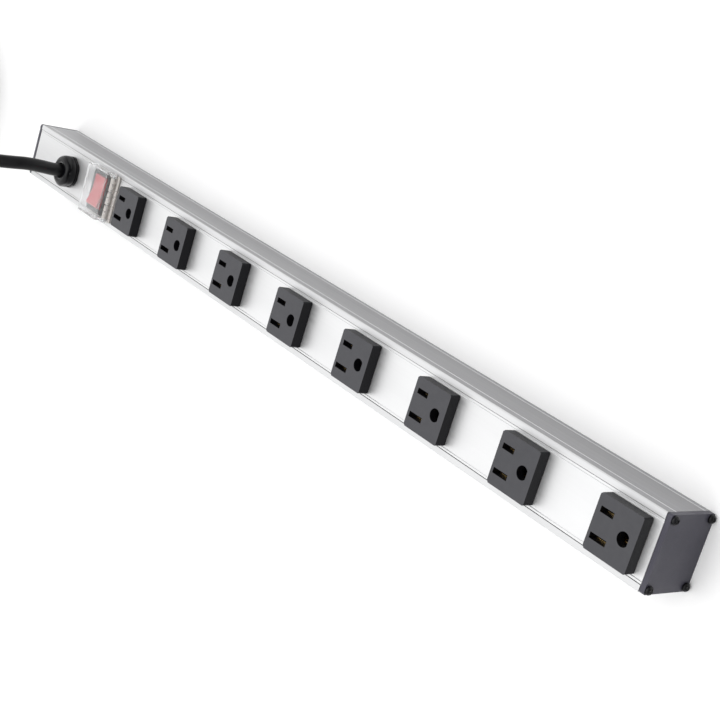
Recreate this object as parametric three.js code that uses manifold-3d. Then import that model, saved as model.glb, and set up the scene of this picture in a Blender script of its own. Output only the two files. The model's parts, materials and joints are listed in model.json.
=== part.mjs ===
// A slim eight-outlet power strip with an aluminium channel housing, a guarded rocker switch and a mains cord.
// Units are millimetres. The strip lies on its back: +X runs along it away from the cord, +Y across it,
// and +Z out of its front face. The origin is the centre of the back face.

import * as THREE from 'three';
import { mergeVertices } from 'three/addons/utils/BufferGeometryUtils.js';
import Module from 'manifold-3d';

// ---- driving dimensions ----
const LENGTH = 609.6; // over both end plates
const WIDTH = 37;
const DEPTH = 30; // back face to front lips
const GAP = 0.3; // clearance between pieces that touch

const PLATE_THICKNESS = 2.6;
const WALL = 1.5;
const LIP = 3.2; // visible width of the housing's lips along the front
const CORNER_BLOCK = 4.9; // solid corners that the end screws bite into
const SCREW_INSET = 2.35; // screw axis to both edges of an end plate
const SCREW_HEAD = { radius: 2.1, height: 1.8 };
const SCREW_SHANK = { radius: 1.0, length: 11 };

const PANEL_TOP = 29.8;
const PANEL_THICKNESS = 0.9;

const OUTLETS = 8;
const OUTLET_PITCH = 62.8;
const FIRST_OUTLET = -155.1;
const OUTLET_FACE = { x: 25, y: 26.4, height: 6.2, chamfer: 1.0 };
const OUTLET_NECK = { x: 23.6, y: 22.4, bottom: 13, wall: 0.85 };
const BLADE_SLOTS_AT = -6.2; // slot centres, from the outlet's centre, towards the cord
const BLADE_SPACING = 12.7;
const GROUND_AT = 5.9;
const SLOT_WIDTH = 2.8;
const LINE_SLOT = 7.6;
const NEUTRAL_SLOT = 9.4;
const GROUND_RADIUS = 3.4;

const SWITCH_X = -198.4;
const SWITCH_BEZEL = { x: 20.4, y: 28, top: 32.8 };
const SWITCH_BODY = { x: 18.4, y: 25.2, bottom: 10 };
const ROCKER_HOLE = { x: 14.8, y: 22.9 };
const ROCKER_WIDTH = 14;
const ROCKER_PIVOT = 29.8;
const ROCKER_TILT = 7; // degrees to either side of level

const COVER = { left: -211.4, right: -185.3, y: 32.8, top: 37.6, wall: 1.1 };
const HINGE = { x: -182.8, z: 33.1, radius: 1.7, pin: 0.8 };
const BASE_BOTTOM = 30.3;
const BASE_TOP = 31.1;
const BASE_RIGHT = -179.0;

const GLAND_X = -245.1;
const GLAND_FLANGE = { radius: 10.9, bottom: 30.1, top: 31.7 };
const GLAND_NUT_TOP = 39.4;
const GLAND_STEM = 7.5;

const CORD_RADIUS = 4.5;
const WIRE_RADIUS = 1.4;
const HANK = { near: -480, far: -597, fold: 27, bottom: 1.6, layers: 4 };
const TIE = { x: -550, width: 14, thickness: 1.1 };
const PLUG = { rear: -534.5, relief: 18, body: 34, y: 26, z: 25, centre: 13 };
const PLUG_BLADE = { length: 17.5, width: 6.35, thickness: 1.5 };

// The cord's centreline from the gland onto the top of the hank, and from the bottom of the hank to the plug.
const CORD_ROUTE = [
  [-245.1, 0, 39.7], [-245.1, 0.2, 46], [-245.6, 0.6, 53], [-247.2, 0.6, 62], [-250.8, -0.9, 72],
  [-257.3, -3, 83], [-267.3, -5.6, 93.5], [-281, -8.6, 102.5], [-298, -12, 108.5], [-318, -15.8, 110],
  [-339, -19.5, 106.5], [-359, -22.9, 98.5], [-377, -25.2, 87.5], [-394, -26.5, 74.5], [-410, -27, 61],
  [-426, -27, 48.5], [-441, -27, 39.3], [-457, -27, 34],
];
const TAIL_ROUTE = [
  [-570, 14.9, 8.6], [-562, 9.6, 10], [-554, 5.2, 11.3], [-546, 2, 12.4], [-540, 0.5, 12.9],
  [-537.5, 0, 13], [-534.8, 0, 13],
];

// ---- solids ----
const wasm = await Module();
wasm.setup();

function toSolid(geometry) {
  const bare = geometry.clone();
  bare.deleteAttribute('normal');
  bare.deleteAttribute('uv');
  const merged = mergeVertices(bare, 1e-4);
  return new wasm.Manifold(new wasm.Mesh({
    numProp: 3,
    vertProperties: new Float32Array(merged.attributes.position.array),
    triVerts: new Uint32Array(merged.index.array),
  }));
}

function toGeometry(solid) {
  const mesh = solid.getMesh();
  const geometry = new THREE.BufferGeometry();
  geometry.setAttribute('position', new THREE.BufferAttribute(mesh.vertProperties, 3));
  geometry.setIndex(new THREE.BufferAttribute(mesh.triVerts, 1));
  geometry.computeVertexNormals();
  return geometry;
}

function combine(base, added = [], removed = []) {
  let solid = toSolid(base);
  for (const piece of added) solid = solid.add(toSolid(piece));
  for (const piece of removed) solid = solid.subtract(toSolid(piece));
  return toGeometry(solid);
}

// ---- basic shapes ----
function block(x0, x1, y0, y1, z0, z1) {
  const geometry = new THREE.BoxGeometry(x1 - x0, y1 - y0, z1 - z0);
  return geometry.translate((x0 + x1) / 2, (y0 + y1) / 2, (z0 + z1) / 2);
}

function outline(points) {
  return new THREE.Shape(points.map(([a, b]) => new THREE.Vector2(a, b)));
}

// A rectangle centred on the origin with rounded corners.
function roundedRectangle(width, height, radius, Path = THREE.Shape) {
  const [w, h] = [width / 2 - radius, height / 2 - radius];
  const path = new Path();
  path.absarc(w, h, radius, 0, Math.PI / 2);
  path.absarc(-w, h, radius, Math.PI / 2, Math.PI);
  path.absarc(-w, -h, radius, Math.PI, 1.5 * Math.PI);
  path.absarc(w, -h, radius, 1.5 * Math.PI, 2 * Math.PI);
  return path;
}

// Extrudes a shape drawn in the XY plane from z0 up to z1.
function upright(shape, z0, z1, curveSegments = 4) {
  const geometry = new THREE.ExtrudeGeometry(shape, { depth: z1 - z0, bevelEnabled: false, curveSegments });
  return geometry.translate(0, 0, z0);
}

// Extrudes a shape whose drawing axes are Y and Z along X, from x0 to x1.
function alongX(shape, x0, x1, curveSegments = 4) {
  const geometry = new THREE.ExtrudeGeometry(shape, { depth: x1 - x0, bevelEnabled: false, curveSegments });
  const axes = new THREE.Matrix4().makeBasis(
    new THREE.Vector3(0, 1, 0), new THREE.Vector3(0, 0, 1), new THREE.Vector3(1, 0, 0));
  return geometry.applyMatrix4(axes).translate(x0, 0, 0);
}

// Extrudes a shape whose drawing axes are X and Z along Y, centred on y = 0.
function alongY(shape, length, curveSegments = 4) {
  const geometry = new THREE.ExtrudeGeometry(shape, { depth: length, bevelEnabled: false, curveSegments });
  return geometry.translate(0, 0, -length / 2).rotateX(Math.PI / 2);
}

// Turns a profile of [radius, height] points about a vertical axis.
function turned(profile, segments = 32) {
  const points = profile.map(([radius, height]) => new THREE.Vector2(radius, height));
  return new THREE.LatheGeometry(points, segments).rotateX(Math.PI / 2);
}

function rod(radius, x, y, z0, z1, segments = 24) {
  return turned([[0, z0], [radius, z0], [radius, z1], [0, z1]], segments).translate(x, y, 0);
}

function hexagon(acrossFlats) {
  const corner = acrossFlats / Math.sqrt(3);
  const points = [];
  for (let i = 0; i < 6; i += 1) {
    const angle = (i + 0.5) * Math.PI / 3;
    points.push([corner * Math.cos(angle), corner * Math.sin(angle)]);
  }
  return outline(points);
}

function tube(points, radius, steps, sides = 10) {
  const section = [];
  for (let i = 0; i < sides; i += 1) {
    const angle = 2 * Math.PI * i / sides;
    section.push([radius * Math.cos(angle), radius * Math.sin(angle)]);
  }
  const curve = new THREE.CatmullRomCurve3(points.map((p) => new THREE.Vector3(...p)), false, 'centripetal');
  return new THREE.ExtrudeGeometry(outline(section), { steps, bevelEnabled: false, extrudePath: curve });
}

// ---- the assembly and its materials ----
const strip = new THREE.Group();
const paint = {
  aluminium: { color: 0xdedfe1, roughness: 0.38, metalness: 0.9 },
  plate: { color: 0x4a4852, roughness: 0.55, metalness: 0.2 },
  screw: { color: 0x17171a, roughness: 0.35, metalness: 0.7 },
  socket: { color: 0x3c3c42, roughness: 0.6, metalness: 0 },
  nylon: { color: 0x101012, roughness: 0.35, metalness: 0 },
  rocker: { color: 0xc8242c, roughness: 0.3, metalness: 0 },
  clear: { color: 0xeef0f0, roughness: 0.2, metalness: 0 },
  brass: { color: 0xb08d45, roughness: 0.35, metalness: 1 },
  steel: { color: 0xb5b7ba, roughness: 0.3, metalness: 1 },
  paper: { color: 0x9a9a90, roughness: 0.9, metalness: 0 },
  rubber: { color: 0x18181a, roughness: 0.7, metalness: 0 },
  cord: { color: 0x141416, roughness: 0.5, metalness: 0 },
  wireBlack: { color: 0x1c1c1c, roughness: 0.5, metalness: 0 },
  wireWhite: { color: 0xdcdcd6, roughness: 0.5, metalness: 0 },
  wireGreen: { color: 0x2c7a3c, roughness: 0.5, metalness: 0 },
  tie: { color: 0x202022, roughness: 0.9, metalness: 0 },
};

function place(name, geometry, finish) {
  const mesh = new THREE.Mesh(geometry, new THREE.MeshStandardMaterial(paint[finish]));
  mesh.name = name;
  strip.add(mesh);
  return mesh;
}

const halfLength = LENGTH / 2;
const halfWidth = WIDTH / 2;
const bodyEnd = halfLength - PLATE_THICKNESS - GAP; // end of the extrusions
const screwPlaces = [1, -1].flatMap((side) => [
  [side * (halfWidth - SCREW_INSET), SCREW_INSET],
  [side * (halfWidth - SCREW_INSET), DEPTH - SCREW_INSET],
]);

// ---- housing: an open channel with solid corners, thin grooves along its sides and a lip over the panel ----
function addHousing() {
  const ledge = PANEL_TOP - PANEL_THICKNESS - GAP; // the panel rests here
  const blockEdge = halfWidth - CORNER_BLOCK;
  const innerWall = halfWidth - WALL;
  const groove = 0.35;
  const backGroove = 4;
  const frontGroove = DEPTH - 5.6;
  const half = [
    [halfWidth - 0.7, 0], [halfWidth, 0.7],
    [halfWidth, backGroove - groove], [halfWidth - groove, backGroove], [halfWidth, backGroove + groove],
    [halfWidth, frontGroove - groove], [halfWidth - groove, frontGroove], [halfWidth, frontGroove + groove],
    [halfWidth, DEPTH - 0.5], [halfWidth - 0.5, DEPTH],
    [halfWidth - LIP, DEPTH], [halfWidth - LIP, ledge], [blockEdge, ledge],
    [blockEdge, ledge - 3.4], [innerWall, ledge - 3.4],
    [innerWall, CORNER_BLOCK], [blockEdge, CORNER_BLOCK], [blockEdge, WALL],
  ];
  const mirrored = half.map(([y, z]) => [-y, z]).reverse();
  const profile = outline([...half, ...mirrored]);
  for (const [y, z] of screwPlaces) {
    const hole = new THREE.Path();
    hole.absarc(y, z, SCREW_SHANK.radius + 0.25, 0, 2 * Math.PI);
    profile.holes.push(hole);
  }
  place('housing', alongX(profile, -bodyEnd, bodyEnd, 5), 'aluminium');
}

// ---- front panel: a thin cover with snap legs under the housing's ledges, and cut-outs for what it carries ----
function addFrontPanel() {
  const bottom = PANEL_TOP - PANEL_THICKNESS;
  const edge = halfWidth - LIP - GAP;
  const legOuter = halfWidth - CORNER_BLOCK - GAP;
  const legInner = legOuter - 0.9;
  const hookTop = 24.9;
  const hookBottom = 24.0;
  const line = edge - 1.2; // fine groove along the panel
  const half = [
    [legInner, bottom], [legInner, hookBottom], [legOuter + 0.9, hookBottom], [legOuter + 0.9, hookTop],
    [legOuter, hookTop], [legOuter, bottom], [edge, bottom], [edge, PANEL_TOP],
    [line + 0.25, PANEL_TOP], [line, PANEL_TOP - 0.25], [line - 0.25, PANEL_TOP],
  ];
  const mirrored = half.map(([y, z]) => [-y, z]).reverse();
  const panel = alongX(outline([...half, ...mirrored]), -bodyEnd, bodyEnd);
  const through = [hookBottom - 1, PANEL_TOP + 1];
  const holes = [rod(GLAND_STEM + 0.4, GLAND_X, 0, ...through)];
  const [sx, sy] = [SWITCH_BODY.x / 2 + 0.4, SWITCH_BODY.y / 2 + 0.4];
  holes.push(block(SWITCH_X - sx, SWITCH_X + sx, -sy, sy, ...through));
  const [ox, oy] = [OUTLET_NECK.x / 2 + 0.35, OUTLET_NECK.y / 2 + 0.35];
  for (let i = 0; i < OUTLETS; i += 1) {
    const x = FIRST_OUTLET + i * OUTLET_PITCH;
    holes.push(block(x - ox, x + ox, -oy, oy, ...through));
  }
  place('front_panel', combine(panel, [], holes), 'aluminium');
}

// ---- end plates and their screws ----
function addEnd(name, side) {
  const inner = halfLength - PLATE_THICKNESS;
  const shape = roundedRectangle(WIDTH, DEPTH, 1.3);
  for (const [y, z] of screwPlaces) {
    const hole = new THREE.Path();
    hole.absarc(y, z - DEPTH / 2, SCREW_SHANK.radius + 0.35, 0, 2 * Math.PI);
    shape.holes.push(hole);
  }
  const plate = alongX(shape, side > 0 ? inner : -halfLength, side > 0 ? halfLength : -inner);
  place(`end_plate_${name}`, plate.translate(0, 0, DEPTH / 2), 'plate');
  screwPlaces.forEach(([y, z], i) => {
    const screw = place(`end_screw_${name}_${i + 1}`, screwGeometry(), 'screw');
    screw.rotation.y = side * Math.PI / 2;
    screw.position.set(side * (halfLength + GAP), y, z);
  });
}

// A self-tapping screw with a domed head and a cross recess, its head standing on z = 0 and its axis on Z.
function screwGeometry() {
  const { radius, height } = SCREW_HEAD;
  const profile = [
    [0, -SCREW_SHANK.length], [SCREW_SHANK.radius * 0.4, -SCREW_SHANK.length],
    [SCREW_SHANK.radius, -SCREW_SHANK.length + 1.2], [SCREW_SHANK.radius, 0],
    [radius, 0], [radius, height * 0.35], [radius * 0.84, height * 0.75], [radius * 0.5, height], [0, height],
  ];
  const reach = radius * 0.62;
  const slot = 0.32;
  const floor = height - 1.0;
  return combine(turned(profile, 12), [], [
    block(-reach, reach, -slot, slot, floor, height + 1),
    block(-slot, slot, -reach, reach, floor, height + 1),
  ]);
}

// ---- outlets: one moulded box each, open at the back, with two blade slots and a ground hole in its face ----
function groundHole(z0, z1) {
  const shape = new THREE.Shape();
  const flat = 2.75; // from the hole's centre to its flat side
  const turn = Math.acos(flat / GROUND_RADIUS);
  shape.absarc(GROUND_AT, 0, GROUND_RADIUS, turn, 2 * Math.PI - turn);
  return upright(shape, z0, z1, 14);
}

function outletGeometry() {
  const { x, y, height, chamfer } = OUTLET_FACE;
  const bottom = PANEL_TOP + GAP;
  const top = bottom + height;
  const [hx, hy] = [x / 2, y / 2];
  const corner = 0.6;
  const face = outline([
    [-hx, -hy + chamfer], [-hx + chamfer, -hy], [hx - corner, -hy], [hx, -hy + corner],
    [hx, hy - corner], [hx - corner, hy], [-hx + chamfer, hy], [-hx, hy - chamfer],
  ]);
  const [nx, ny] = [OUTLET_NECK.x / 2, OUTLET_NECK.y / 2];
  const neck = block(-nx, nx, -ny, ny, OUTLET_NECK.bottom, bottom + 1);
  const clipBottom = OUTLET_NECK.bottom + 11;
  const clipTop = PANEL_TOP - PANEL_THICKNESS - GAP; // the clips catch under the panel
  const clips = [
    block(-4, 4, ny - 1, ny + 0.6, clipBottom, clipTop),
    block(-4, 4, -ny - 0.6, 1 - ny, clipBottom, clipTop),
  ];
  const roof = bottom + 1.6; // the hollow of the neck ends here, under the face
  const [ix, iy] = [nx - OUTLET_NECK.wall, ny - OUTLET_NECK.wall];
  const hollow = block(-ix, ix, -iy, iy, OUTLET_NECK.bottom - 1, roof);
  const cuts = [hollow, groundHole(roof - 1, top + 1)];
  for (const [side, length] of [[1, LINE_SLOT], [-1, NEUTRAL_SLOT]]) {
    const y0 = side * BLADE_SPACING / 2 - SLOT_WIDTH / 2;
    const x0 = BLADE_SLOTS_AT - length / 2;
    cuts.push(block(x0, x0 + length, y0, y0 + SLOT_WIDTH, roof - 1, top + 1));
  }
  return combine(upright(face, bottom, top), [neck, ...clips], cuts);
}

function addOutlets() {
  for (let i = 0; i < OUTLETS; i += 1) {
    const outlet = place(`outlet_${i + 1}`, outletGeometry(), 'socket');
    outlet.position.x = FIRST_OUTLET + i * OUTLET_PITCH;
  }
}

// ---- bus bars: a strip under the outlets with a pair of spring leaves standing in each outlet ----
const BUS_START = FIRST_OUTLET - 16;
const BUS_BOTTOM = 7.5;
const BUS_TOP = 11.5;

function addBus(name, y, contactAt, leafLength, leafSpacing) {
  const end = FIRST_OUTLET + (OUTLETS - 1) * OUTLET_PITCH + 11;
  const bar = block(BUS_START, end, y - 0.5, y + 0.5, BUS_BOTTOM, BUS_TOP);
  const contacts = [];
  for (let i = 0; i < OUTLETS; i += 1) {
    const x = FIRST_OUTLET + i * OUTLET_PITCH + contactAt;
    const [x0, x1] = [x - leafLength / 2, x + leafLength / 2];
    contacts.push(block(x0, x1, y - leafSpacing - 0.5, y + leafSpacing + 0.5, BUS_TOP - 0.8, BUS_TOP));
    contacts.push(block(x0, x1, y - leafSpacing - 0.5, y - leafSpacing, BUS_TOP - 0.8, 27));
    contacts.push(block(x0, x1, y + leafSpacing, y + leafSpacing + 0.5, BUS_TOP - 0.8, 27));
  }
  place(name, combine(bar, contacts), 'brass');
}

function addLiner() {
  const thickness = 0.4;
  const edge = halfWidth - CORNER_BLOCK - GAP;
  const bottom = WALL + GAP;
  const rim = 4.6;
  const profile = outline([
    [-edge, bottom], [edge, bottom], [edge, rim], [edge - thickness, rim],
    [edge - thickness, bottom + thickness], [-edge + thickness, bottom + thickness],
    [-edge + thickness, rim], [-edge, rim],
  ]);
  place('insulating_liner', alongX(profile, -bodyEnd + 2, bodyEnd - 2), 'paper');
}

// ---- rocker switch ----
function addSwitch() {
  const { x, y, top } = SWITCH_BEZEL;
  const bezelBottom = BASE_TOP + GAP;
  const bezel = upright(roundedRectangle(x, y, 1.6), bezelBottom, top);
  const [bx, by] = [SWITCH_BODY.x / 2, SWITCH_BODY.y / 2];
  const body = block(-bx, bx, -by, by, SWITCH_BODY.bottom, bezelBottom + 0.5);
  const [rx, ry] = [ROCKER_HOLE.x / 2, ROCKER_HOLE.y / 2];
  const hole = block(-rx, rx, -ry, ry, 24, top + 1);
  const pivotHole = rod(1.5, 0, 0, -bx - 1, bx + 1, 16).rotateY(Math.PI / 2).translate(0, 0, ROCKER_PIVOT);
  const switchBody = place('switch_body', combine(bezel, [body], [hole, pivotHole]), 'nylon');
  switchBody.position.x = SWITCH_X;

  const profile = outline([
    [-10, -2.5], [-3, -4], [3, -4], [10, -2.5], [10.9, 0], [10.6, 3], [9.8, 5.0], [4.8, 4.2], [0, 3.9],
    [-4.8, 4.2], [-9.8, 5.0], [-10.6, 3], [-10.9, 0],
  ]);
  const half = ROCKER_WIDTH / 2;
  const stub = rod(1.2, 0, 0, -half - 1.6, half + 1.6, 16).rotateY(Math.PI / 2);
  const rocker = place('switch_rocker', combine(alongX(profile, -half, half), [stub]), 'rocker');
  rocker.rotation.x = -THREE.MathUtils.degToRad(ROCKER_TILT);
  rocker.position.set(SWITCH_X, 0, ROCKER_PIVOT);

  const tabTop = SWITCH_BODY.bottom - GAP;
  [-7.5, 0, 7.5].forEach((tabY, i) => {
    const blade = block(SWITCH_X - 3.1, SWITCH_X + 3.1, tabY - 0.4, tabY + 0.4, 3.4, tabTop);
    place(`switch_terminal_${i + 1}`, blade, 'brass');
  });
}

// ---- clear flip cover over the switch, its base plate under the switch bezel, and the hinge pin ----
function roundEnd(radius, x, z) {
  const shape = new THREE.Shape();
  shape.absarc(x, z, radius, 0, 2 * Math.PI);
  return shape;
}

function addCover() {
  const wallBottom = BASE_TOP + GAP;
  const { left, right, top, wall } = COVER;
  const shellWidth = right - left;
  const shell = upright(roundedRectangle(shellWidth, COVER.y, 1.8), wallBottom, top)
    .translate((left + right) / 2, 0, 0);
  const inside = roundedRectangle(shellWidth - 2 * wall, COVER.y - 2 * wall, 0.9);
  const hollow = upright(inside, wallBottom - 1, top - wall).translate((left + right) / 2, 0, 0);
  const bore = alongY(roundEnd(HINGE.pin + GAP, HINGE.x, HINGE.z), 50, 8);
  const earThickness = 2.2;
  const ears = [];
  for (const side of [-1, 1]) {
    const y = side * (COVER.y / 2 - earThickness / 2);
    ears.push(alongY(roundEnd(HINGE.radius, HINGE.x, HINGE.z), earThickness, 8).translate(0, y, 0));
    ears.push(block(right - 0.5, HINGE.x, y - earThickness / 2, y + earThickness / 2,
      HINGE.z - HINGE.radius, HINGE.z + HINGE.radius));
  }
  const pad = block(right - 0.5, right + 0.35, -5.2, 1.2, top - 3.6, top - 1); // thumb pad on the hinge side
  const tab = block(left - 1.4, left + 0.5, -5, 5, wallBottom + 0.6, wallBottom + 1.9); // lift tab
  place('switch_cover', combine(shell, [...ears, pad, tab], [hollow, bore]), 'clear');

  const [sx, sy] = [SWITCH_BODY.x / 2 + 0.4, SWITCH_BODY.y / 2 + 0.4];
  const base = upright(roundedRectangle(BASE_RIGHT - left, 31.6, 1.2), BASE_BOTTOM, BASE_TOP)
    .translate((left + BASE_RIGHT) / 2, 0, 0);
  const bodyWindow = block(SWITCH_X - sx, SWITCH_X + sx, -sy, sy, BASE_BOTTOM - 1, BASE_TOP + 1);
  const barrelLength = COVER.y - 2 * earThickness - 2 * GAP;
  const barrel = alongY(roundEnd(HINGE.radius, HINGE.x, HINGE.z), barrelLength, 8);
  const halfBarrel = barrelLength / 2;
  const web = block(HINGE.x - 1.2, HINGE.x + 1.2, -halfBarrel, halfBarrel, BASE_BOTTOM + 0.4, HINGE.z);
  place('cover_base', combine(base, [barrel, web], [bodyWindow, bore]), 'clear');
  place('cover_pin', alongY(roundEnd(HINGE.pin, HINGE.x, HINGE.z), COVER.y - 1, 6), 'steel');
}

// ---- cord gland ----
function addGland() {
  const tubeTop = 36;
  const inside = CORD_RADIUS + 0.7;
  const seat = { radius: 6.6, bottom: 32 };
  const thread = 7.6;
  const flange = upright(hexagon(20.6), GLAND_FLANGE.bottom, GLAND_FLANGE.top);
  const rounding = turned([
    [0, GLAND_FLANGE.bottom], [GLAND_FLANGE.radius, GLAND_FLANGE.bottom],
    [GLAND_FLANGE.radius, GLAND_FLANGE.top], [0, GLAND_FLANGE.top],
  ], 24);
  const stem = turned([
    [inside, 20], [GLAND_STEM, 20], [GLAND_STEM, GLAND_FLANGE.bottom + 1], [thread, GLAND_FLANGE.bottom + 1],
    [thread, tubeTop], [seat.radius, tubeTop], [seat.radius, seat.bottom], [inside, seat.bottom], [inside, 20],
  ], 24);
  const core = turned([[0, 10], [inside, 10], [inside, seat.bottom + 5], [0, seat.bottom + 5]], 24);
  const ring = toSolid(flange).intersect(toSolid(rounding)).subtract(toSolid(core));
  place('gland_body', toGeometry(ring.add(toSolid(stem))), 'nylon').position.x = GLAND_X;

  const nutBottom = GLAND_FLANGE.top + GAP;
  const hole = CORD_RADIUS + 0.4;
  const dome = turned([
    [thread + 0.35, nutBottom], [10.9, nutBottom], [10.9, nutBottom + 4], [10.5, nutBottom + 5.4],
    [9.4, GLAND_NUT_TOP - 0.8], [8, GLAND_NUT_TOP], [6.4, GLAND_NUT_TOP], [hole, GLAND_NUT_TOP - 0.6],
    [hole, tubeTop + 1.4], [thread + 0.35, tubeTop + 0.4], [thread + 0.35, nutBottom],
  ], 24);
  const nutFlats = upright(hexagon(20.4), nutBottom - 1, GLAND_NUT_TOP + 1);
  const nut = toSolid(dome).intersect(toSolid(nutFlats));
  place('gland_nut', toGeometry(nut), 'nylon').position.x = GLAND_X;

  const seal = turned([
    [CORD_RADIUS + GAP, seat.bottom + GAP], [seat.radius - GAP, seat.bottom + GAP],
    [seat.radius - GAP, tubeTop - 0.2], [CORD_RADIUS + GAP, tubeTop + 0.3], [CORD_RADIUS + GAP, seat.bottom + GAP],
  ], 24);
  place('gland_seal', seal, 'rubber').position.x = GLAND_X;

  const nutTop = PANEL_TOP - PANEL_THICKNESS - GAP;
  const locknut = combine(upright(hexagon(20), nutTop - 3, nutTop), [], [rod(GLAND_STEM + 0.35, 0, 0, 20, 30)]);
  place('gland_locknut', locknut, 'nylon').position.x = GLAND_X;
}

// ---- the cord inside the strip and its three wires ----
function addWiring() {
  const cordEnd = 17;
  place('cord_inner', rod(CORD_RADIUS, GLAND_X, 0, cordEnd, GLAND_NUT_TOP, 20), 'cord');
  const start = cordEnd - GAP;
  const busEnd = BUS_START - GAP;
  const busMiddle = (BUS_BOTTOM + BUS_TOP) / 2;
  const tab = SWITCH_X - 3.1 - GAP;
  const blade = BLADE_SPACING / 2;
  place('wire_line_in', tube([
    [GLAND_X + 2.2, 0, start], [GLAND_X + 2.4, 0, 13], [GLAND_X + 8, -2, 8],
    [-225, -5, 6.6], [-212, -7.4, 6.6], [tab - 3, -7.5, 6.6], [tab, -7.5, 6.6],
  ], WIRE_RADIUS, 14, 6), 'wireBlack');
  place('wire_line_out', tube([
    [SWITCH_X + 3.1 + GAP, 0, 6.6], [-189, 0.6, 6.8], [-182, 4.5, 8], [-178, 6.1, 9.1],
    [busEnd - 3, blade, busMiddle],
    [busEnd, blade, busMiddle],
  ], WIRE_RADIUS, 12, 6), 'wireBlack');
  place('wire_neutral', tube([
    [GLAND_X - 1.4, -2.2, start], [GLAND_X - 1.2, -3, 13], [GLAND_X + 6, -9, 9.5],
    [-226, -14, 9.5], [-205, -14.6, 9.5],
    [-188, -14.4, 9.5], [-181.5, -9, 9.5], [busEnd - 3, -blade, busMiddle],
    [busEnd, -blade, busMiddle],
  ], WIRE_RADIUS, 20, 6), 'wireWhite');
  place('wire_ground', tube([
    [GLAND_X - 1.4, 2.2, start], [GLAND_X - 1.2, 3, 13], [GLAND_X + 6, 9, 9.5],
    [-226, 14, 9.5], [-205, 14.6, 9.5],
    [-188, 14, 10], [-184.8, 9.5, 5.8], [-181.5, 4, 4.6], [-177.5, 0.3, 6.4], [busEnd - 3, 0, busMiddle],
    [busEnd, 0, busMiddle],
  ], WIRE_RADIUS, 22, 6), 'wireGreen');
}

// ---- the free cord, its tied hank and its plug ----
function stadium(radius, Path) {
  const path = new Path();
  path.absarc(HANK.near, 0, radius, -Math.PI / 2, Math.PI / 2);
  path.absarc(HANK.far, 0, radius, Math.PI / 2, 1.5 * Math.PI);
  return path;
}

function addCord() {
  place('cord', tube(CORD_ROUTE, CORD_RADIUS, 30), 'cord');
  place('cord_tail', tube(TAIL_ROUTE, CORD_RADIUS, 6), 'cord');
  const height = HANK.layers * 2 * CORD_RADIUS;
  const shape = stadium(HANK.fold + CORD_RADIUS, THREE.Shape);
  shape.holes.push(stadium(HANK.fold - CORD_RADIUS, THREE.Path));
  place('cord_hank', upright(shape, HANK.bottom, HANK.bottom + height, 12), 'cord');

  const width = 2 * (HANK.fold + CORD_RADIUS + GAP);
  const loopHeight = height + 2 * GAP;
  const loop = roundedRectangle(width + 2 * TIE.thickness, loopHeight + 2 * TIE.thickness, TIE.thickness);
  loop.holes.push(roundedRectangle(width, loopHeight, 0.2, THREE.Path));
  const tie = alongX(loop, TIE.x - TIE.width / 2, TIE.x + TIE.width / 2);
  place('cord_tie', tie.translate(0, 0, HANK.bottom + height / 2), 'tie');
}

function addPlug() {
  const front = PLUG.rear + PLUG.relief + PLUG.body;
  const bodyRear = PLUG.rear + PLUG.relief;
  const cone = [[0, 0], [5.2, 0], [6.4, PLUG.relief * 0.6], [7.6, PLUG.relief + 1], [0, PLUG.relief + 1]];
  const relief = turned(cone, 16).rotateY(Math.PI / 2).translate(PLUG.rear, 0, PLUG.centre);
  const grip = alongX(roundedRectangle(PLUG.y * 0.72, PLUG.z * 0.72, 5), bodyRear, bodyRear + 18);
  const face = alongX(roundedRectangle(PLUG.y, PLUG.z, 6), bodyRear + 14, front);
  const body = combine(face.translate(0, 0, PLUG.centre), [grip.translate(0, 0, PLUG.centre), relief]);
  place('plug_body', body, 'cord');

  const bladeZ = PLUG.centre - 5;
  const [x0, x1] = [front + GAP, front + GAP + PLUG_BLADE.length];
  for (const [name, side] of [['line', 1], ['neutral', -1]]) {
    const y = side * BLADE_SPACING / 2;
    const half = PLUG_BLADE.thickness / 2;
    place(`plug_blade_${name}`, block(x0, x1, y - half, y + half,
      bladeZ - PLUG_BLADE.width / 2, bladeZ + PLUG_BLADE.width / 2), 'brass');
  }
  const pin = turned([[0, 0], [2.4, 0], [2.4, 18.5], [1.2, 20.5], [0, 20.5]], 14).rotateY(Math.PI / 2);
  place('plug_ground_pin', pin.translate(x0, 0, bladeZ + 11.9), 'brass');
}

addHousing();
addFrontPanel();
addEnd('left', -1);
addEnd('right', 1);
addLiner();
addOutlets();
addBus('bus_line', BLADE_SPACING / 2, BLADE_SLOTS_AT, 7, 1.5);
addBus('bus_neutral', -BLADE_SPACING / 2, BLADE_SLOTS_AT, 7, 1.5);
addBus('bus_ground', 0, GROUND_AT - 0.3, 4.6, 2.5);
addSwitch();
addCover();
addGland();
addWiring();
addCord();
addPlug();

export default strip;
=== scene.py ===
# A slim aluminium power strip lying on its back, seen from above its far end, in soft studio light.
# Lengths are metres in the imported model's own frame: +X along the strip, +Y across it, +Z out of its face.

import json
import math

import bmesh
import bpy
from mathutils import Euler, Matrix, Vector


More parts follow.
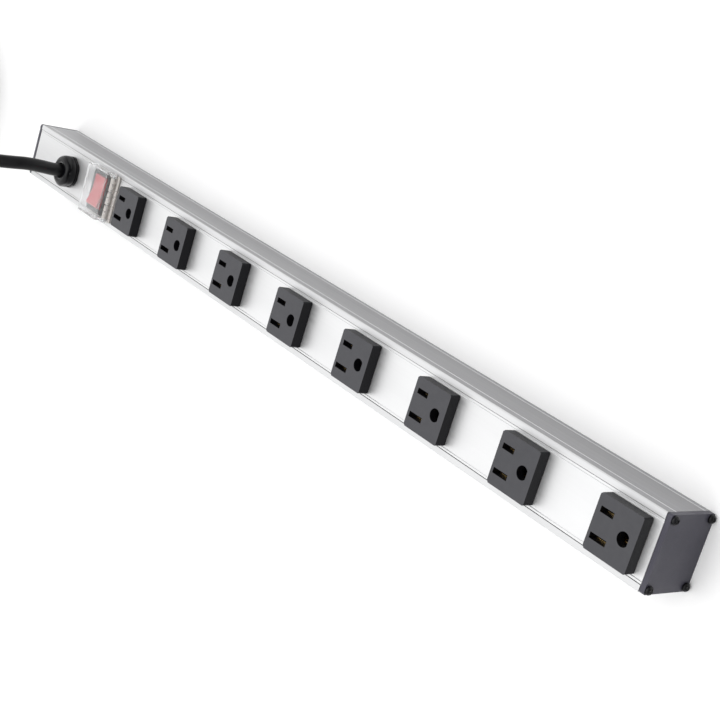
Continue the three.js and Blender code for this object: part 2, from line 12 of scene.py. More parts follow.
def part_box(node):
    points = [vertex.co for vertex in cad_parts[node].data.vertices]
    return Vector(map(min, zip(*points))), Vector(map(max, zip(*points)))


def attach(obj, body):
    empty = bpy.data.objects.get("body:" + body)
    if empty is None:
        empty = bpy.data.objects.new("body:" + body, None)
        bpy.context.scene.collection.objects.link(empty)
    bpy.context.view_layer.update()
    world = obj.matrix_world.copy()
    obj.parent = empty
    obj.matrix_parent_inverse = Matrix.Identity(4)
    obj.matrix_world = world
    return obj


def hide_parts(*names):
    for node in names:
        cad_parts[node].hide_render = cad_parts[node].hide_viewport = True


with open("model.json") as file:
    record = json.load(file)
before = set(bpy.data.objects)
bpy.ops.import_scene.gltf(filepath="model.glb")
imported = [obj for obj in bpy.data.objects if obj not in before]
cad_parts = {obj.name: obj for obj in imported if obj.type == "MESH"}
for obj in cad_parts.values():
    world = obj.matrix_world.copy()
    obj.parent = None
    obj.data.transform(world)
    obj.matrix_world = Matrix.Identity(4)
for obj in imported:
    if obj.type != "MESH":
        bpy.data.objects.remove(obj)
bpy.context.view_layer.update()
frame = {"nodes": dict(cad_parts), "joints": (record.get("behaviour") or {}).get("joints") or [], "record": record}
NODES = frame["nodes"]
MM = 0.001
STRIP, ROCKER, COVER = "strip", "rocker", "cover"


# ---- places read from the frame ----
def low(node):
    return Vector(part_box(node)[0])


def high(node):
    return Vector(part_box(node)[1])


def middle(node):
    return (low(node) + high(node)) / 2


# ---- camera ----
CAMERA_PLACE = (0.61052, 0.18663, 0.49799)
CAMERA_TURN = (6.2166, 47.6775, 25.8881)  # degrees about X, Y and Z
CAMERA_LENS = 69.51
CAMERA_SHIFT = -0.0556


def add_camera():
    data = bpy.data.cameras.new("camera")
    data.sensor_width = 36
    data.lens = CAMERA_LENS
    data.shift_x = CAMERA_SHIFT
    data.shift_y = CAMERA_SHIFT
    data.clip_start = 0.01
    data.clip_end = 20
    camera = bpy.data.objects.new("camera", data)
    camera.location = CAMERA_PLACE
    camera.rotation_euler = Euler([math.radians(angle) for angle in CAMERA_TURN])
    bpy.context.scene.collection.objects.link(camera)
    bpy.context.scene.camera = camera


add_camera()


# ---- small tools ----
def add_object(name, data):
    piece = bpy.data.objects.new(name, data)
    bpy.context.scene.collection.objects.link(piece)
    return piece


def mesh_from(name, build, sharp=35):
    """A smooth-shaded mesh object, from a function that fills a bmesh."""
    shape = bmesh.new()
    build(shape)
    bmesh.ops.recalc_face_normals(shape, faces=shape.faces)
    mesh = bpy.data.meshes.new(name)
    shape.to_mesh(mesh)
    shape.free()
    mesh.shade_smooth()
    mesh.set_sharp_from_angle(angle=math.radians(sharp))
    return add_object(name, mesh)


def loft(shape, rings, closed=False):
    """Joins rings of points, all of one count, into a skin, capped at its ends unless it is closed."""
    rows = [[shape.verts.new(point) for point in ring] for ring in rings]
    pairs = list(zip(rows, rows[1:]))
    if closed:
        pairs.append((rows[-1], rows[0]))
    for row, following in pairs:
        for i in range(len(row)):
            j = (i + 1) % len(row)
            shape.faces.new((row[i], row[j], following[j], following[i]))
    if not closed:
        shape.faces.new(list(reversed(rows[0])))
        shape.faces.new(rows[-1])


def bevel(piece, width, segments=3, angle=30):
    modifier = piece.modifiers.new("bevel", "BEVEL")
    modifier.width = width
    modifier.segments = segments
    modifier.limit_method = "ANGLE"
    modifier.angle_limit = math.radians(angle)
    modifier.harden_normals = True
    return piece


def finish_piece(piece, body, material, replaced=()):
    piece.data.materials.clear()
    piece.data.materials.append(material)
    if replaced:
        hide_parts(*replaced)
    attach(piece, body)
    return piece


# ---- materials ----
SOCKETS = {
    "transmission_weight": "Transmission Weight",
    "coat_weight": "Coat Weight",
    "sheen_weight": "Sheen Weight",
    "specular_ior_level": "Specular IOR Level",
    "ior": "IOR",
}


class Paint:
    """A Principled material and short ways to add procedural detail to it."""

    def __init__(self, name, colour, roughness, metallic=0.0):
        self.material = bpy.data.materials.new(name)
        self.material.use_nodes = True
        self.tree = self.material.node_tree
        self.shader = self.tree.nodes["Principled BSDF"]
        self.shader.inputs["Base Color"].default_value = (*colour, 1)
        self.shader.inputs["Roughness"].default_value = roughness
        self.shader.inputs["Metallic"].default_value = metallic
        self.colour = colour
        self.height = None

    def set(self, **values):
        for name, value in values.items():
            self.shader.inputs[SOCKETS[name]].default_value = value
        return self

    def add(self, kind, **inputs):
        node = self.tree.nodes.new(kind)
        for name, value in inputs.items():
            node.inputs[name.replace("_", " ").title()].default_value = value
        return node

    def link(self, output, socket):
        self.tree.links.new(output, socket)

    def noise(self, scale, stretch=(1, 1, 1), detail=3.0, roughness=0.5):
        coordinates = self.add("ShaderNodeTexCoord")
        mapping = self.add("ShaderNodeMapping")
        mapping.inputs["Scale"].default_value = stretch
        self.link(coordinates.outputs["Object"], mapping.inputs["Vector"])
        noise = self.add("ShaderNodeTexNoise", scale=scale, detail=detail, roughness=roughness)
        self.link(mapping.outputs["Vector"], noise.inputs["Vector"])
        return noise.outputs["Fac"]

    def spread(self, value, low, high):
        """Stretches a 0 to 1 value to run from low to high."""
        node = self.tree.nodes.new("ShaderNodeMapRange")
        node.inputs["From Min"].default_value = 0.3
        node.inputs["From Max"].default_value = 0.7
        node.inputs["To Min"].default_value = low
        node.inputs["To Max"].default_value = high
        self.link(value, node.inputs["Value"])
        return node.outputs["Result"]

    def vary_roughness(self, value, low, high):
        self.link(self.spread(value, low, high), self.shader.inputs["Roughness"])
        return self

    def vary_colour(self, value, other):
        mix = self.tree.nodes.new("ShaderNodeMix")
        mix.data_type = "RGBA"
        first, second = [i for i in mix.inputs if i.type == "RGBA"]
        first.default_value = (*self.colour, 1)
        second.default_value = (*other, 1)
        self.link(self.spread(value, 0, 1), mix.inputs["Factor"])
        self.colour_output = next(o for o in mix.outputs if o.type == "RGBA")
        self.link(self.colour_output, self.shader.inputs["Base Color"])
        return self

    def painted_shade_mask(self, axis, low, high):
        """A mask for painting shade by which way a surface faces: 0 where a surface faces along the axis less than
        low, 1 where it faces along it more than high.
        """
        coordinates = self.add("ShaderNodeTexCoord")
        split = self.tree.nodes.new("ShaderNodeSeparateXYZ")
        self.link(coordinates.outputs["Normal"], split.inputs[0])
        size = self.tree.nodes.new("ShaderNodeMath")
        size.operation = "ABSOLUTE"
        self.link(split.outputs[axis], size.inputs[0])
        node = self.tree.nodes.new("ShaderNodeMapRange")
        node.inputs["From Min"].default_value = low
        node.inputs["From Max"].default_value = high
        self.link(size.outputs[0], node.inputs["Value"])
        return node.outputs["Result"]

    def blend(self, factor, socket, first, second):
        """Blends a socket from first to second, each a colour, a number or another output."""
        mix = self.tree.nodes.new("ShaderNodeMix")
        mix.data_type = "RGBA" if socket == "Base Color" else "FLOAT"
        kind = "RGBA" if socket == "Base Color" else "VALUE"
        for name, value in (("A", first), ("B", second)):
            side = next(i for i in mix.inputs if i.name == name and i.type == kind)
            if isinstance(value, bpy.types.NodeSocket):
                self.link(value, side)
            else:
                side.default_value = (*value, 1) if socket == "Base Color" else value
        self.link(factor, mix.inputs["Factor"])
        result = next(o for o in mix.outputs if o.type == kind)
        self.link(result, self.shader.inputs[socket])
        return self

    def bump(self, value, strength, distance):
        node = self.add("ShaderNodeBump", strength=strength, distance=distance)
        self.link(value, node.inputs["Height"])
        if self.height is not None:
            self.link(self.height, node.inputs["Normal"])
        self.height = node.outputs["Normal"]
        self.link(self.height, self.shader.inputs["Normal"])
        return self


def anodised_aluminium():
    paint = Paint("anodised_aluminium", (0.63, 0.633, 0.638), 0.4, 0.85)
    streaks = paint.noise(1.0, (4, 900, 900), 5, 0.65)
    cloud = paint.noise(1.0, (14, 60, 60), 3)
    paint.vary_roughness(streaks, 0.32, 0.44)
    paint.vary_colour(cloud, (0.59, 0.593, 0.598))
    # painted shade: the long side faces get a darker base colour than the rest, standing in for the shade they
    # fall in
    paint.blend(paint.painted_shade_mask("Y", 0.8, 0.98), "Base Color", paint.colour_output, (0.29, 0.288, 0.297))
    paint.bump(streaks, 0.12, 0.00004)
    return paint.material


def panel_aluminium():
    paint = Paint("panel_aluminium", (0.70, 0.702, 0.706), 0.45, 0.8)
    streaks = paint.noise(1.0, (3, 700, 700), 5, 0.65)
    cloud = paint.noise(1.0, (9, 40, 40), 3)
    paint.vary_roughness(streaks, 0.4, 0.5)
    paint.vary_colour(cloud, (0.66, 0.662, 0.666))
    paint.bump(streaks, 0.1, 0.00004)
    return paint.material


def powder_coat():
    paint = Paint("charcoal_powder_coat", (0.036, 0.034, 0.050), 0.5, 0.0)
    grain = paint.noise(2600, detail=2)
    paint.vary_roughness(paint.noise(60), 0.42, 0.56)
    paint.vary_colour(grain, (0.044, 0.042, 0.060))
    paint.bump(grain, 0.35, 0.00008)
    return paint.material


def black_screw():
    paint = Paint("black_oxide", (0.003, 0.003, 0.004), 0.32, 0.0)
    paint.set(specular_ior_level=0.28)
    paint.vary_roughness(paint.noise(900), 0.25, 0.42)
    paint.bump(paint.noise(2200), 0.15, 0.00003)
    return paint.material


def socket_plastic():
    paint = Paint("socket_plastic", (0.034, 0.034, 0.040), 0.5)
    grain = paint.noise(3400, detail=2)
    # painted shade: the sides get a far darker base colour than the front face, standing in for their shade; the
    # front face is also glossier than the sides
    flat = paint.painted_shade_mask("Z", 0.5, 0.95)
    paint.vary_colour(paint.noise(220), (0.040, 0.040, 0.046))
    # painted shade: near-black base colour on the sides, while the front face keeps the plastic's own colour
    paint.blend(flat, "Base Color", (0.006, 0.006, 0.008), paint.colour_output)
    paint.blend(flat, "Roughness", 0.42, 0.52)
    paint.blend(flat, "Specular IOR Level", 0.18, 0.45)
    paint.bump(grain, 0.4, 0.00007)
    return paint.material


def black_nylon():
    paint = Paint("black_nylon", (0.002, 0.002, 0.003), 0.2)
    paint.set(specular_ior_level=0.22)
    paint.vary_roughness(paint.noise(300), 0.14, 0.26)
    paint.bump(paint.noise(700), 0.08, 0.0001)
    return paint.material


def red_lens():
    paint = Paint("red_lens", (0.72, 0.012, 0.022), 0.2)
    paint.set(transmission_weight=0.1, coat_weight=0.3)
    paint.vary_roughness(paint.noise(500), 0.14, 0.26)
    paint.bump(paint.noise(900), 0.05, 0.00005)
    return paint.material


def clear_plastic():
    paint = Paint("clear_plastic", (0.95, 0.955, 0.96), 0.16)
    paint.set(transmission_weight=0.87, ior=1.25)
    paint.vary_roughness(paint.noise(260), 0.1, 0.2)
    paint.bump(paint.noise(120), 0.06, 0.0003)
    return paint.material


def frosted_plastic():
    paint = Paint("frosted_plastic", (0.80, 0.765, 0.735), 0.3)
    paint.set(transmission_weight=0.45, ior=1.2)
    paint.vary_roughness(paint.noise(260), 0.24, 0.36)
    paint.bump(paint.noise(90), 0.02, 0.0002)
    return paint.material


def brass():
    paint = Paint("brass", (0.72, 0.52, 0.22), 0.3, 1.0)
    streaks = paint.noise(1.0, (1600, 120, 1600), 4)
    paint.vary_roughness(streaks, 0.22, 0.4)
    paint.vary_colour(paint.noise(180), (0.62, 0.44, 0.2))
    paint.bump(streaks, 0.1, 0.00003)
    return paint.material


def steel():
    paint = Paint("drawn_steel", (0.6, 0.61, 0.62), 0.3, 1.0)
    streaks = paint.noise(1.0, (1500, 60, 1500), 4)
    paint.vary_roughness(streaks, 0.22, 0.38)
    paint.bump(streaks, 0.1, 0.00003)
    return paint.material


def fibre():
    paint = Paint("fibre_liner", (0.35, 0.34, 0.3), 0.85)
    paint.vary_colour(paint.noise(700, (1, 3, 1)), (0.27, 0.26, 0.23))
    paint.bump(paint.noise(1500), 0.4, 0.0001)
    return paint.material


def seal_rubber():
    paint = Paint("seal_rubber", (0.018, 0.018, 0.02), 0.65)
    paint.vary_roughness(paint.noise(500), 0.55, 0.75)
    paint.bump(paint.noise(1200), 0.2, 0.0001)
    return paint.material


def cord_jacket():
    paint = Paint("cord_jacket", (0.004, 0.004, 0.005), 0.4)
    paint.set(specular_ior_level=0.24)
    paint.vary_roughness(paint.noise(180), 0.3, 0.46)
    paint.vary_colour(paint.noise(60), (0.006, 0.006, 0.007))
    paint.bump(paint.noise(450, detail=4), 0.14, 0.00018)
    return paint.material


def insulation(name, colour):
    paint = Paint(name, colour, 0.35)
    paint.vary_roughness(paint.noise(300), 0.28, 0.42)
    paint.bump(paint.noise(600), 0.1, 0.0001)
    return paint.material


def strap_weave():
    paint = Paint("strap_weave", (0.014, 0.014, 0.017), 0.85)
    paint.set(sheen_weight=0.4)
    coordinates = paint.add("ShaderNodeTexCoord")
    waves = []
    for direction in ("X", "Y"):
        wave = paint.tree.nodes.new("ShaderNodeTexWave")
        wave.bands_direction = direction
        wave.inputs["Scale"].default_value = 300
        wave.inputs["Distortion"].default_value = 0.6
        paint.link(coordinates.outputs["Object"], wave.inputs["Vector"])
        waves.append(wave.outputs["Fac"])
    paint.vary_colour(waves[0], (0.03, 0.03, 0.034))
    paint.bump(waves[0], 0.5, 0.00025)
    paint.bump(waves[1], 0.4, 0.0002)
    return paint.material


MATERIALS = {
    "aluminium": anodised_aluminium(),
    "panel": panel_aluminium(),
    "end_plate": powder_coat(),
    "screw": black_screw(),
    "socket_plastic": socket_plastic(),
    "black_nylon": black_nylon(),
    "red_plastic": red_lens(),
    "clear_plastic": clear_plastic(),
    "frosted_plastic": frosted_plastic(),
    "brass": brass(),
    "steel": steel(),
    "fibre_liner": fibre(),
    "seal_rubber": seal_rubber(),
    "cord_jacket": cord_jacket(),
    "wire_black": insulation("wire_black", (0.012, 0.012, 0.012)),
    "wire_white": insulation("wire_white", (0.7, 0.7, 0.67)),
    "wire_green": insulation("wire_green", (0.02, 0.18, 0.05)),
    "tie_strap": strap_weave(),
}


# ---- the free cord: up out of the gland, over and down onto a tied hank, and into the plug ----
CORD_DIAMETER = 0.009
CORD_ROUTE = [
    (-0.2451, 0, 0.0397), (-0.2451, 0.0002, 0.046), (-0.2456, 0.0006, 0.053), (-0.2472, 0.0006, 0.062),
    (-0.2508, -0.0009, 0.072), (-0.2573, -0.003, 0.083), (-0.2673, -0.0056, 0.0935),
    (-0.281, -0.0086, 0.1025), (-0.298, -0.012, 0.1085), (-0.318, -0.0158, 0.110),
    (-0.339, -0.0195, 0.1065), (-0.359, -0.0229, 0.0985), (-0.377, -0.0252, 0.0875),
    (-0.394, -0.0265, 0.0745), (-0.410, -0.027, 0.061), (-0.426, -0.027, 0.0485),
    (-0.441, -0.027, 0.0393), (-0.457, -0.027, 0.034),
]
TAIL_ROUTE = [
    (-0.570, 0.0149, 0.0086), (-0.562, 0.0096, 0.010), (-0.554, 0.0052, 0.0113), (-0.546, 0.002, 0.0124),
    (-0.540, 0.0005, 0.0129), (-0.5375, 0, 0.013), (-0.5348, 0, 0.013),
]
HANK_FOLD = 0.027
HANK_LAYERS = 4


def hank_turns():
    """The points of the hank's turns, from its top layer down to its bottom one."""
    near = high("cord_hank").x - HANK_FOLD - CORD_DIAMETER / 2
    far = low("cord_hank").x + HANK_FOLD + CORD_DIAMETER / 2
    top = high("cord_hank").z - CORD_DIAMETER / 2
    run = [near + (far - near) * i / 6 for i in range(1, 6)]
    fold = [math.pi * i / 12 for i in range(13)]
    points = []
    for layer in range(HANK_LAYERS):
        z = top - layer * CORD_DIAMETER
        last = layer == HANK_LAYERS - 1
        if layer == 0:
            points.append((near, -HANK_FOLD, z))
        points += [(x, -HANK_FOLD, z) for x in run]
        points += [(far - HANK_FOLD * math.sin(a), -HANK_FOLD * math.cos(a), z) for a in fold]
        if last:
            continue
        points += [(x, HANK_FOLD, z) for x in reversed(run)]
        for a in fold:
            fallen = CORD_DIAMETER * (1 - math.cos(a)) / 2
            points.append((near + HANK_FOLD * math.sin(a), HANK_FOLD * math.cos(a), z - fallen))
    return points


def add_cord():
    start = (CORD_ROUTE[0][0], CORD_ROUTE[0][1], CORD_ROUTE[0][2] - 0.003)
    points = [start] + CORD_ROUTE + hank_turns() + TAIL_ROUTE
    curve = bpy.data.curves.new("mains_cord", "CURVE")
    curve.dimensions = "3D"
    curve.bevel_depth = CORD_DIAMETER / 2
    curve.bevel_resolution = 6
    curve.resolution_u = 5
    curve.use_fill_caps = True
    spline = curve.splines.new("BEZIER")
    spline.bezier_points.add(len(points) - 1)
    for point, place in zip(spline.bezier_points, points):
        point.co = place
        point.handle_left_type = point.handle_right_type = "AUTO"
    cord = add_object("mains_cord", curve)
    replaced = ("cord", "cord_hank", "cord_tail")
    return finish_piece(cord, STRIP, MATERIALS["cord_jacket"], replaced)


cord = add_cord()


# ---- plug: a moulded body on a ribbed strain relief ----
def superellipse(x, centre_z, half_y, half_z, power, count=64):
    ring = []
    for i in range(count):
        angle = 2 * math.pi * i / count
        c, s = math.cos(angle), math.sin(angle)
        y = half_y * math.copysign(abs(c) ** (2 / power), c)
        z = half_z * math.copysign(abs(s) ** (2 / power), s)
        ring.append((x, y, centre_z + z))
    return ring


def add_plug():
    rear, front = low("plug_body").x, high("plug_body").x
    centre_z = middle("plug_body").z
    half_y = (high("plug_body").y - low("plug_body").y) / 2
    half_z = (high("plug_body").z - low("plug_body").z) / 2
    relief = 18 * MM
    ribs, rib_pitch, rib_growth = 5, 3.1 * MM, 0.32
    rings = [
        superellipse(rear, centre_z, 4.9 * MM, 4.9 * MM, 2),
        superellipse(rear + 0.4 * MM, centre_z, 5.3 * MM, 5.3 * MM, 2),
    ]
    for i in range(ribs):
        x = rear + 1.2 * MM + i * rib_pitch
        radius = (5.4 + rib_growth * i) * MM
        groove = radius - 0.9 * MM
        rib = ((0, radius), (1.3, radius), (1.55, groove), (2.7, groove), (2.95, radius + 0.3 * MM))
        for step, size in rib:
            rings.append(superellipse(x + step * MM, centre_z, size, size, 2))
    # distance along the plug, share of its half width and half height, and squareness of the section
    body = [
        (relief + 0.5 * MM, 0.30, 0.31, 2), (relief + 3 * MM, 0.56, 0.55, 2.4),
        (relief + 7 * MM, 0.68, 0.66, 2.8), (relief + 12 * MM, 0.70, 0.70, 3),
        (relief + 16 * MM, 0.76, 0.78, 3), (relief + 19 * MM, 0.92, 0.93, 3.4),
        (relief + 21.5 * MM, 0.985, 0.985, 3.8), (relief + 24 * MM, 1, 1, 4),
        (relief + 31.5 * MM, 1, 1, 4), (relief + 33 * MM, 0.985, 0.985, 4),
        (front - rear - 0.3 * MM, 0.95, 0.95, 4), (front - rear, 0.91, 0.91, 4),
    ]
    for offset, share_y, share_z, power in body:
        rings.append(superellipse(rear + offset, centre_z, half_y * share_y, half_z * share_z, power))
    plug = mesh_from("plug_moulding", lambda shape: loft(shape, rings), 50)
    return finish_piece(plug, STRIP, MATERIALS["cord_jacket"], ("plug_body",))


plug = add_plug()


# ---- strap round the hank ----
def add_strap():
    a, b = low("cord_tie"), high("cord_tie")
    centre_y, centre_z = middle("cord_tie").y, middle("cord_tie").z
    half_y, half_z = (b.y - a.y) / 2, (b.z - a.z) / 2
    thickness = 1.0 * MM
    corner_radius = 4.4 * MM

    def ring(inset, x):
        points = []
        radius = corner_radius - inset
        for corner in range(4):
            sign_y = 1 if corner in (0, 3) else -1
            sign_z = 1 if corner in (0, 1) else -1
            for i in range(9):
                angle = (corner + i / 8) * math.pi / 2
                y = sign_y * (half_y - corner_radius) + radius * math.cos(angle)
                z = sign_z * (half_z - corner_radius) + radius * math.sin(angle)
                points.append((x, centre_y + y, centre_z + z))
        return points

    edge = 0.25 * MM
    section = [
        (0, a.x + edge), (0, b.x - edge), (edge, b.x), (thickness - edge, b.x),
        (thickness, b.x - edge), (thickness, a.x + edge), (thickness - edge, a.x), (edge, a.x),
    ]
    rings = [ring(inset, x) for inset, x in section]
    strap = mesh_from("hank_strap", lambda shape: loft(shape, rings, closed=True), 40)
    return finish_piece(strap, STRIP, MATERIALS["tie_strap"], ("cord_tie",))


strap = add_strap()


# ---- gland: rounded hexagonal dome nut on a flanged body ----
def hex_radius(angle, flat):
    turn = (angle + math.pi / 6) % (math.pi / 3) - math.pi / 6
    return flat / math.cos(turn)


def soft_min(a, b, blend):
    h = max(blend - abs(a - b), 0) / blend
    return min(a, b) - h * h * blend / 4


def hex_ring(place, z, radius, flat, count=120):
    ring = []
    for i in range(count):
        angle = 2 * math.pi * i / count
        size = soft_min(hex_radius(angle, flat), radius, 0.7 * MM)
        ring.append((place.x + size * math.cos(angle), place.y + size * math.sin(angle), z))
    return ring


def add_gland_nut():
    place = middle("gland_nut")
    bottom, top = low("gland_nut").z, high("gland_nut").z
    flat = (high("gland_nut").x - low("gland_nut").x) / 2
    crown = flat + 0.75 * MM
    profile = [
        (8.2, bottom + 0.3 * MM), (crown / MM - 0.5, bottom), (crown / MM, bottom + 0.5 * MM),
        (crown / MM, bottom + 3.6 * MM), (crown / MM - 0.15, top - 2.6 * MM),
        (crown / MM - 0.7, top - 1.5 * MM), (crown / MM - 1.7, top - 0.6 * MM),
        (crown / MM - 2.6, top - 0.12 * MM), (7.6, top), (6.1, top), (5.4, top - 0.35 * MM),
        (4.95, top - 0.9 * MM), (4.9, top - 3 * MM), (8.0, top - 3.2 * MM),
    ]
    rings = [hex_ring(place, z, radius * MM, flat) for radius, z in profile]
    nut = mesh_from("gland_dome_nut", lambda shape: loft(shape, rings, closed=True), 45)
    return finish_piece(nut, STRIP, MATERIALS["black_nylon"], ("gland_nut",))


add_gland_nut()


# ---- end screws: pan heads with a cross recess ----
RECESS_HALF_WIDTH = 0.42 * MM
RECESS_REACH = 1.35 * MM
RECESS_DEPTH = 0.75 * MM


def screw_height(radius, angle, head_radius, head_height):
    dome = head_height * (1 - 0.55 * (radius / head_radius) ** 2.6)
    x, y = abs(radius * math.cos(angle)), abs(radius * math.sin(angle))
    across, along = min(x, y), max(x, y)
    arm = max(0, min(1, (RECESS_HALF_WIDTH - across) / (0.16 * MM)))
    reach = max(0, min(1, (RECESS_REACH - along) / (0.2 * MM)))
    return dome - arm * reach * RECESS_DEPTH * (1 - along / (2.2 * MM))


def screw_mesh():
    head = high("end_screw_right_1").y - middle("end_screw_right_1").y
    plate_face = high("end_plate_right").x
    height = high("end_screw_right_1").x - plate_face
    rounds, spokes = 22, 96

    def build(shape):
        centre = shape.verts.new((0, 0, screw_height(0, 0, head, height)))
        rows = []
        for i in range(1, rounds + 1):
            radius = head * i / rounds
            row = []
            for j in range(spokes):
                angle = 2 * math.pi * j / spokes
                z = screw_height(radius, angle, head, height)
                row.append(shape.verts.new((radius * math.cos(angle), radius * math.sin(angle), z)))
            rows.append(row)
        rim = [(head, 0.05 * MM), (head * 0.97, -0.02 * MM), (1.0 * MM, -0.02 * MM), (0.95 * MM, -10 * MM)]
        for radius, z in rim:
            row = []
            for j in range(spokes):
                angle = 2 * math.pi * j / spokes
                row.append(shape.verts.new((radius * math.cos(angle), radius * math.sin(angle), z)))
            rows.append(row)
        for j in range(spokes):
            k = (j + 1) % spokes
            shape.faces.new((centre, rows[0][j], rows[0][k]))
            for row, following in zip(rows, rows[1:]):
                shape.faces.new((row[j], following[j], following[k], row[k]))
        shape.faces.new(list(reversed(rows[-1])))

    return mesh_from("end_screw_head", build, 50), plate_face


def add_screws():
    pattern, plate_face = screw_mesh()
    mesh = pattern.data
    bpy.data.objects.remove(pattern)
    for side, sign in (("left", -1), ("right", 1)):
        for number in range(1, 5):
            node = f"end_screw_{side}_{number}"
            screw = add_object(f"{node}_shape", mesh)
            place = middle(node)
            spin = Matrix.Rotation(0.35 * number, 4, "Z")
            turn = Matrix.Rotation(math.pi / 2 * sign, 4, "Y")
            screw.matrix_world = Matrix.Translation((sign * plate_face, place.y, place.z)) @ turn @ spin
            finish_piece(screw, STRIP, MATERIALS["screw"], (node,))


add_screws()


# ---- brass leaves a little way down in each outlet's slots ----
# each slot's place along and across the outlet, and its length
SLOTS = [(-6.2 * MM, 6.35 * MM, 7.6 * MM), (-6.2 * MM, -6.35 * MM, 9.4 * MM)]
GROUND_AT = 5.9 * MM


def box(shape, corner_low, corner_high):
    made = bmesh.ops.create_cube(shape, size=1)["verts"]
    a, b = Vector(corner_low), Vector(corner_high)
    for vert in made:
        vert.co = Vector([(a[i] + b[i]) / 2 + vert.co[i] * (b[i] - a[i]) for i in range(3)])


def build_contacts(shape):
    top, bottom = -4.6 * MM, -12 * MM
    leaf_outside, leaf_inside = 1.32 * MM, 0.92 * MM  # from the slot's middle
    end_gap = 0.6 * MM
    ground_half_length, ground_side, ground_half_thickness = 1.4 * MM, 2.0 * MM, 0.2 * MM
    for x, y, length in SLOTS:
        for side in (-1, 1):
            wall = y + side * leaf_outside
            inner = y + side * leaf_inside
            box(
                shape,
                (x - length / 2 + end_gap, min(wall, inner), bottom),
                (x + length / 2 - end_gap, max(wall, inner), top),
            )
    for side in (-1, 1):
        box(
            shape,
            (GROUND_AT - ground_half_length, side * ground_side - ground_half_thickness, bottom),
            (GROUND_AT + ground_half_length, side * ground_side + ground_half_thickness, top),
        )


def add_contacts():
    pattern = mesh_from("outlet_leaves", build_contacts)
    mesh = pattern.data
    bpy.data.objects.remove(pattern)
    for number in range(1, 9):
        place = middle(f"outlet_{number}")
        leaves = add_object(f"outlet_leaves_{number}", mesh)
        leaves.location = (place.x, place.y, high(f"outlet_{number}").z)
        finish_piece(leaves, STRIP, MATERIALS["brass"])


add_contacts()


# ---- rocker: a shallow V with softened edges ----
ROCKER_JOINT = next(j for j in frame["joints"] if j["name"] == "rocker_tilt")
ROCKER_PIVOT = ROCKER_JOINT["pos_m"][2]
ROCKER_TILT = ROCKER_JOINT["range_deg"][1] / 2


def add_rocker():
    box_low, box_high = low("switch_rocker"), high("switch_rocker")
    x0, x1 = box_low.x + 1.6 * MM, box_high.x - 1.6 * MM
    pivot = Vector((0, 0, ROCKER_PIVOT))
    tilt = Matrix.Rotation(-math.radians(ROCKER_TILT), 3, "X")
    outline = [
        (-10.0, -2.5), (-3.0, -4.0), (3.0, -4.0), (10.0, -2.5),
        (10.8, 0.0), (10.6, 3.0), (10.25, 4.5), (9.7, 5.0),
    ]
    for i in range(1, 16):
        y = 9.7 - 19.4 * i / 16
        outline.append((y, 3.75 + 1.25 * abs(y / 9.7) ** 1.5))
    outline += [(-9.7, 5.0), (-10.25, 4.5), (-10.6, 3.0), (-10.8, 0.0)]

    def ring(x):
        return [Vector((x, 0, 0)) + pivot + tilt @ Vector((0, y * MM, z * MM)) for y, z in outline]

    rocker = mesh_from("rocker_cap", lambda shape: loft(shape, [ring(x0), ring(x1)]), 30)
    bevel(rocker, 0.4 * MM, 3, 50)
    return finish_piece(rocker, ROCKER, MATERIALS["red_plastic"], ("switch_rocker",))


add_rocker()


# ---- hinge side of the cover's base: a frosted plate with two hinge knuckles ----
def add_cover_base():
    a, b = low("cover_base"), high("cover_base")
    pin = middle("cover_pin")
    plate_top = a.z + 0.8 * MM
    inside_left = low("switch_body").x + 0.7 * MM
    inside_right = high("switch_body").x - 0.7 * MM
    inside_y = high("switch_body").y - 1.1 * MM
    radius = 1.7 * MM
    hole = 1.1 * MM
    spokes = 48

    def build(shape):
        box(shape, (a.x, -b.y, a.z), (inside_left, b.y, plate_top))
        box(shape, (inside_right, -b.y, a.z), (b.x, b.y, plate_top))
        box(shape, (inside_left, inside_y, a.z), (inside_right, b.y, plate_top))
        box(shape, (inside_left, -b.y, a.z), (inside_right, -inside_y, plate_top))

    plate = mesh_from("cover_base_plate", build)
    bevel(plate, 0.2 * MM, 2)
    finish_piece(plate, STRIP, MATERIALS["frosted_plastic"], ("cover_base",))

    half = (high("switch_cover").y - low("switch_cover").y) / 2 - 2.6 * MM

    def knuckle(shape):
        def ring(size, y):
            angles = [2 * math.pi * i / spokes for i in range(spokes)]
            return [(pin.x + size * math.cos(a), y, pin.z + size * math.sin(a)) for a in angles]

        for start, end in ((-half, -0.35 * half), (-0.3 * half, 0.3 * half), (0.35 * half, half)):
            edge = 0.2 * MM
            section = [
                (hole, start), (radius - edge, start), (radius, start + edge),
                (radius, end - edge), (radius - edge, end), (hole, end),
            ]
            loft(shape, [ring(size, y) for size, y in section], closed=True)
        foot = 1.1 * MM  # half width of the foot that joins the knuckles to the plate
        box(shape, (pin.x - foot, -half, plate_top - 0.2 * MM), (pin.x + foot, half, pin.z - 1.0 * MM))

    hinge = mesh_from("cover_hinge_knuckles", knuckle)
    finish_piece(hinge, STRIP, MATERIALS["frosted_plastic"], ("cover_base",))


add_cover_base()


# ---- CAD nodes that stay: a material each, and softened edges where they show ----
BEVELS = {
    "housing": 0.1, "front_panel": 0.12, "end_plate": 0.35, "outlet": 0.35, "switch_body": 0.5,
    "switch_cover": 0.3, "gland_body": 0.3, "plug_blade": 0.3, "cover_pin": 0.1,
}  # millimetres, by the start of a node's name
OWN_MATERIAL = {"front_panel": "panel"}


def dress_nodes():
    slots = {row["node"]: row["material_slot"] for row in frame["record"]["subparts"]}
    for name, node in NODES.items():
        node.data.materials.clear()
        node.data.materials.append(MATERIALS[OWN_MATERIAL.get(name, slots[name])])
        for start, width in BEVELS.items():
            if name.startswith(start):
                bevel(node, width * MM, 3)


dress_nodes()


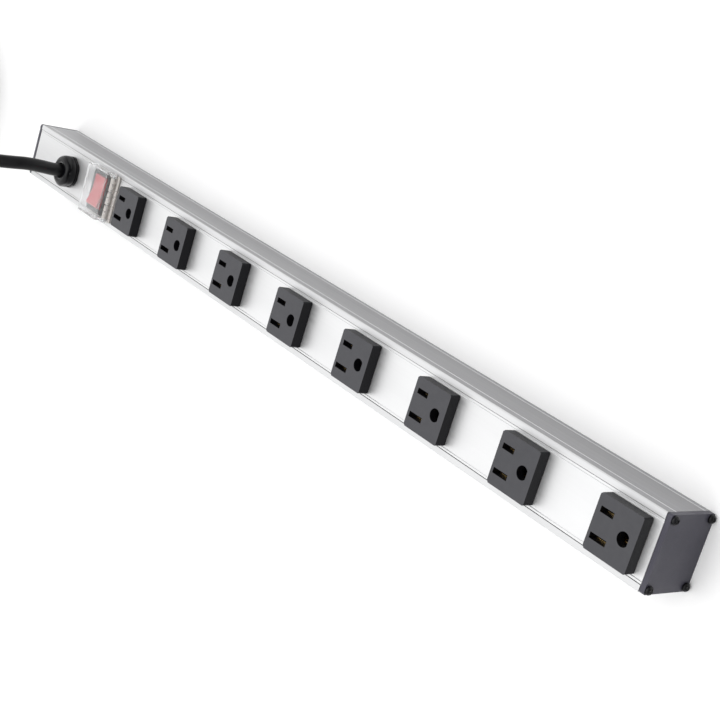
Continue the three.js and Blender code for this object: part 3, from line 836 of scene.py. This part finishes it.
# ---- floor and light ----
def add_floor():
    def plane(shape):
        size = 6
        corners = [shape.verts.new((size * x, size * y, 0)) for x, y in ((-1, -1), (1, -1), (1, 1), (-1, 1))]
        shape.faces.new(corners)

    floor = mesh_from("floor", plane)
    paint = Paint("pale_floor", (0.9, 0.9, 0.9), 0.8)
    paint.vary_colour(paint.noise(3), (0.89, 0.89, 0.89))
    floor.data.materials.append(paint.material)


def add_area(name, place, target, size, power):
    data = bpy.data.lights.new(name, "AREA")
    data.shape = "RECTANGLE"
    data.size, data.size_y = size
    data.energy = power
    light = add_object(name, data)
    light.location = place
    aim = Vector(target) - Vector(place)
    light.rotation_euler = aim.to_track_quat("-Z", "Y").to_euler()


WORLD_BRIGHT_SIDE = (-0.55, -0.15, 0.82)
WORLD_SPREAD = (-0.2, 0.62)  # cosines to that side between which the strength rises
WORLD_STRENGTH = (0.22, 1.35)


def add_world():
    """A white studio: bright overhead and behind the strip's cord end, dimmer behind the viewer."""
    world = bpy.data.worlds.new("studio")
    bpy.context.scene.world = world
    world.use_nodes = True
    tree = world.node_tree
    coordinates = tree.nodes.new("ShaderNodeTexCoord")
    towards = tree.nodes.new("ShaderNodeVectorMath")
    towards.operation = "DOT_PRODUCT"
    towards.inputs[1].default_value = Vector(WORLD_BRIGHT_SIDE).normalized()
    tree.links.new(coordinates.outputs["Generated"], towards.inputs[0])
    strength = tree.nodes.new("ShaderNodeMapRange")
    strength.interpolation_type = "SMOOTHSTEP"
    strength.inputs["From Min"].default_value = WORLD_SPREAD[0]
    strength.inputs["From Max"].default_value = WORLD_SPREAD[1]
    strength.inputs["To Min"].default_value = WORLD_STRENGTH[0]
    strength.inputs["To Max"].default_value = WORLD_STRENGTH[1]
    tree.links.new(towards.outputs["Value"], strength.inputs["Value"])
    tree.links.new(strength.outputs["Result"], tree.nodes["Background"].inputs["Strength"])
    tree.nodes["Background"].inputs["Color"].default_value = (1, 1, 1, 1)


def add_light():
    add_world()
    add_area("overhead", (0.15, 0.25, 1.6), (0, 0, 0), (2.0, 1.4), 9)


add_floor()
add_light()
bpy.context.scene.view_settings.view_transform = "Standard"
